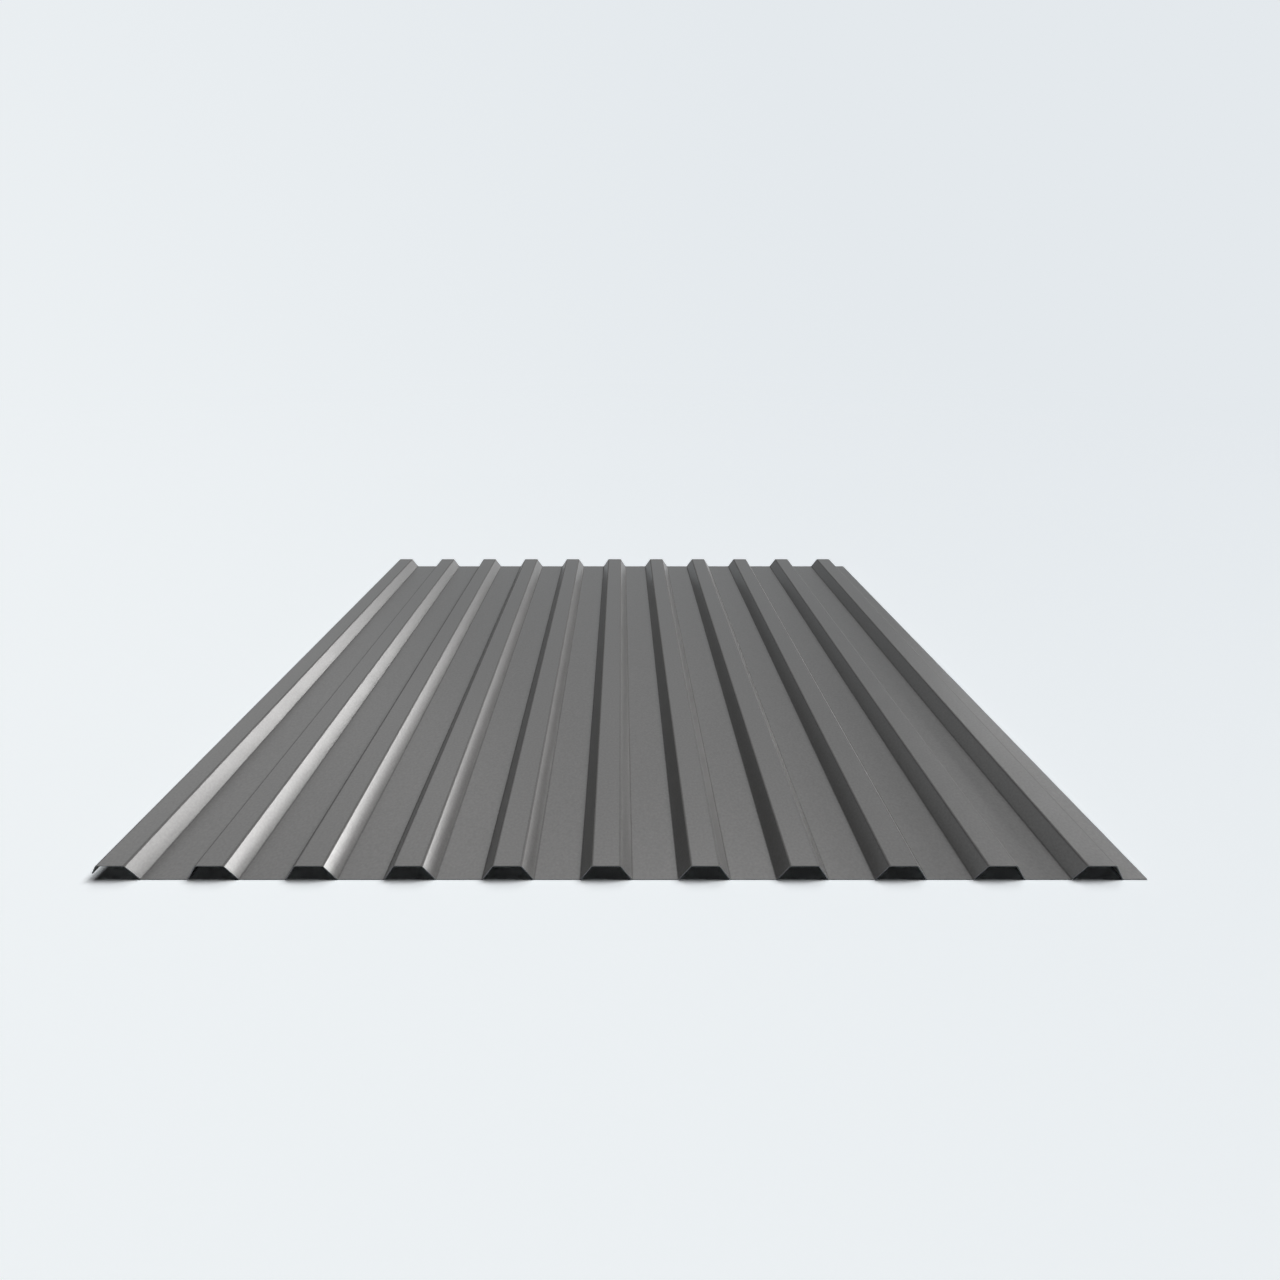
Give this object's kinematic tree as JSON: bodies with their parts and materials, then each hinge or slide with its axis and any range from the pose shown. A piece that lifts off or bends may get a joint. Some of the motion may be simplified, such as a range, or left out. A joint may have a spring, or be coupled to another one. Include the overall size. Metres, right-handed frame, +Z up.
{
  "type": "trapezoidal steel sheet",
  "caption": "Flat-lying profiled sheet of coated steel: level-topped ribs with sloping webs, a short lap lip along one side and a flat foot along the other.",
  "frame": {"origin": "centre of the sheet's plan, on the level that the undersides of the troughs lie on", "axes": "+X across the ribs, from the short lap lip to the flat foot; +Y along the ribs; +Z up, out of the weather side"},
  "size_m": [1.1794, 1, 0.021],
  "materials": {
    "coil_coated_steel": "satin grey polyester coil coating with a very fine grain"
  },
  "bodies": {
    "root": {"trapezoidal_sheet": "coil_coated_steel"}
  },
  "joints": []
}
